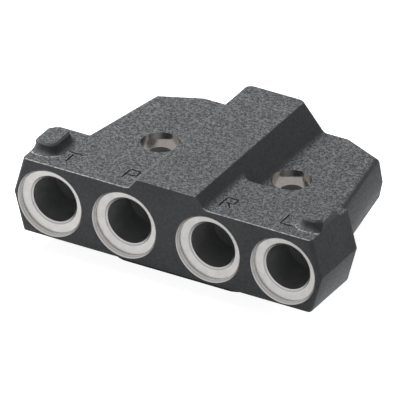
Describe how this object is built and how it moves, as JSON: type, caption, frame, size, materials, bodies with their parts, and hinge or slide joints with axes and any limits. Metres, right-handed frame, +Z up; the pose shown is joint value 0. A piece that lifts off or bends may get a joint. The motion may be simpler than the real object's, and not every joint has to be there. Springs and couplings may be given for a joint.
{
  "type": "hydraulic valve block",
  "caption": "Cast hydraulic block with a row of spotfaced hose ports in its front bar, a central ridge and a drilled rear plate that bolts down on a ported face.",
  "frame": {"origin": "under the middle of the block, in the plane of the mounting face", "axes": "+X along the row of ports, -Y out of the ports, +Z up from the mounting face"},
  "size_m": [0.1574, 0.0996, 0.0496],
  "materials": {
    "cast_iron": "dark grey sand casting, machined bright at ports and bolt seats"
  },
  "bodies": {
    "root": {"valve_block": "cast_iron"}
  },
  "joints": []
}
